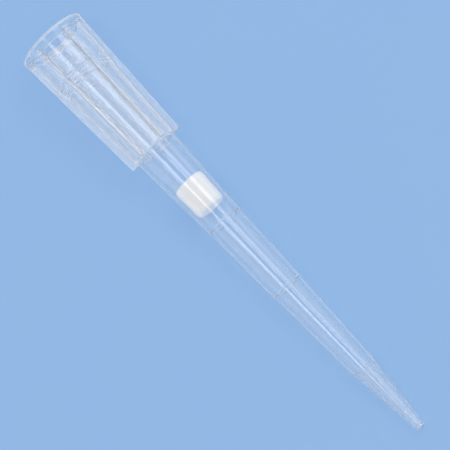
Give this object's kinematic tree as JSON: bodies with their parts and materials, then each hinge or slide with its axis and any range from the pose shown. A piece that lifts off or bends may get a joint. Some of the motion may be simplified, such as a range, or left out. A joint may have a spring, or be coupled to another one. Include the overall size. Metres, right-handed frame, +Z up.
{
  "type": "pipette tip",
  "caption": "Clear tapered pipette tip with a ribbed head, two graduation steps and a white porous filter plug in its bore, lying on its side.",
  "frame": {"origin": "on the ground plane, under the middle of the bounding box", "axes": "+X from the mouth towards the point, +Z up; the tip's own axis slopes down towards the point by 3.1 degrees, and its ribs are turned 3.2 degrees, as it rests on the ring round its mouth, one rib and the shoulder of the point"},
  "size_m": [0.0542, 0.0074, 0.0075],
  "materials": {
    "clear_polypropylene": "clear natural polypropylene with a slight haze",
    "porous_polyethylene": "matt sintered white"
  },
  "bodies": {
    "root": {"tip_body": "clear_polypropylene", "filter_plug": "porous_polyethylene"}
  },
  "joints": []
}
